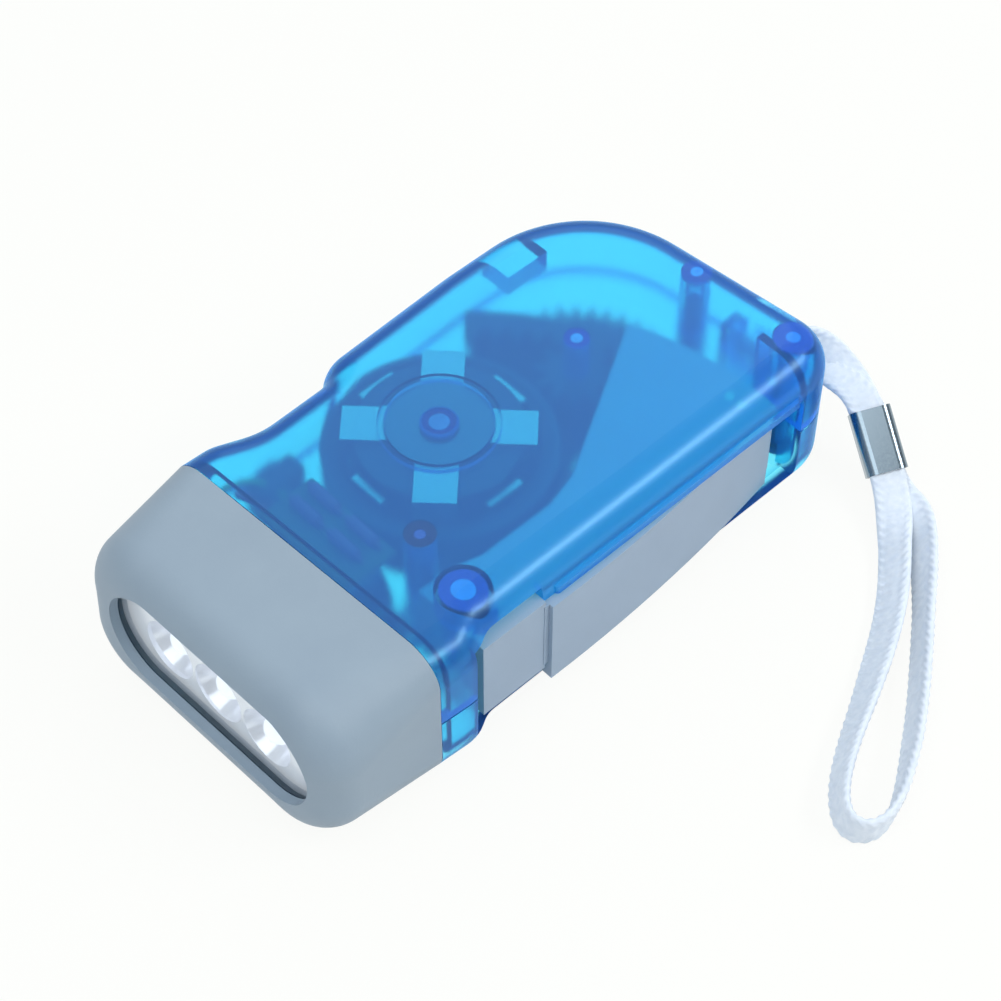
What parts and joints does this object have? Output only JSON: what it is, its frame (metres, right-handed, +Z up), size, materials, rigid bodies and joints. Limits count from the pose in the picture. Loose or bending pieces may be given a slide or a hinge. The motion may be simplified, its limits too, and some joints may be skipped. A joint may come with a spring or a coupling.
{
  "type": "hand crank flashlight",
  "caption": "Squeeze-lever dynamo torch: a clear casing over a lever-driven generator, a grey head with lamps behind a wide window, and a wrist strap.",
  "frame": {"origin": "under the middle of the casing's box, without the strap, on the face it rests on", "axes": "+X the way the light goes, +Y the lever's side, +Z up from the resting face"},
  "size_m": [0.1137, 0.1032, 0.028],
  "materials": {
    "clear_blue": "clear, polished",
    "grey_plastic": "fine matte texture",
    "clear_lens": "clear, polished",
    "chrome_plate": "mirror",
    "led_epoxy": "clear",
    "circuit_board": "satin",
    "cell_steel": "satin",
    "dark_plastic": "satin",
    "plated_steel": "bright zinc",
    "diode_black": "satin",
    "copper_wire": "enamelled copper",
    "pin_steel": "ground",
    "ferrite": "dark ferrite",
    "screw_steel": "zinc",
    "red_lead": "satin",
    "green_lead": "satin",
    "white_braid": "flat braid",
    "ferrule_metal": "polished"
  },
  "bodies": {
    "casing": {"top_shell": "clear_blue", "bottom_shell": "clear_blue", "head_bezel": "grey_plastic", "front_lens": "clear_lens", "reflector": "chrome_plate", "led_far": "led_epoxy", "led_middle": "led_epoxy", "led_near": "led_epoxy", "led_board": "circuit_board", "button_cells": "cell_steel", "cell_holder": "dark_plastic", "contact_tabs": "plated_steel", "charge_board": "circuit_board", "diodes": "diode_black", "switch_body": "dark_plastic", "top_pole_plate": "plated_steel", "bottom_pole_plate": "plated_steel", "coil_bobbin": "dark_plastic", "coil_winding": "copper_wire", "flywheel_pin": "pin_steel", "gear_pin": "pin_steel", "return_spring": "pin_steel", "case_screws": "screw_steel", "strap_pin": "pin_steel", "wires_red": "red_lead", "wires_green": "green_lead", "wrist_strap": "white_braid", "strap_ferrule": "ferrule_metal"},
    "lever": {"lever": "grey_plastic", "gear_sector": "dark_plastic", "sector_rivets": "pin_steel"},
    "compound_gear": {"drive_wheel": "dark_plastic", "clutch_pinion": "dark_plastic"},
    "flywheel": {"flywheel": "dark_plastic", "ring_magnet": "ferrite"},
    "switch_knob": {"switch_knob": "dark_plastic"},
    "lever_catch": {"lever_catch": "grey_plastic"}
  },
  "joints": [
    {"name": "lever_swing", "type": "hinge", "parent": "casing", "child": "lever", "pos_m": [0.01885, 0.0188, 0.014], "axis": [0, 0, -1], "range_deg": [0, 17]},
    {"name": "gear_spin", "type": "hinge", "parent": "casing", "child": "compound_gear", "pos_m": [-0.02425, -0.00345, 0.011], "axis": [0, 0, -1], "range_deg": [0, 166.96]},
    {"name": "flywheel_spin", "type": "hinge", "parent": "casing", "child": "flywheel", "pos_m": [0.00128, -0.00541, 0.014], "axis": [0, 0, 1], "range_deg": [0, 461.55]},
    {"name": "switch_slide", "type": "slide", "parent": "casing", "child": "switch_knob", "axis": [1, 0, 0], "range_m": [0, 0.0025]},
    {"name": "catch_slide", "type": "slide", "parent": "casing", "child": "lever_catch", "axis": [1, 0, 0], "range_m": [0, 0.0042]}
  ],
  "couplings": [
    {"joint": "gear_spin", "follows": "lever_swing", "ratio": 9.8182},
    {"joint": "flywheel_spin", "follows": "lever_swing", "ratio": 27.144}
  ]
}
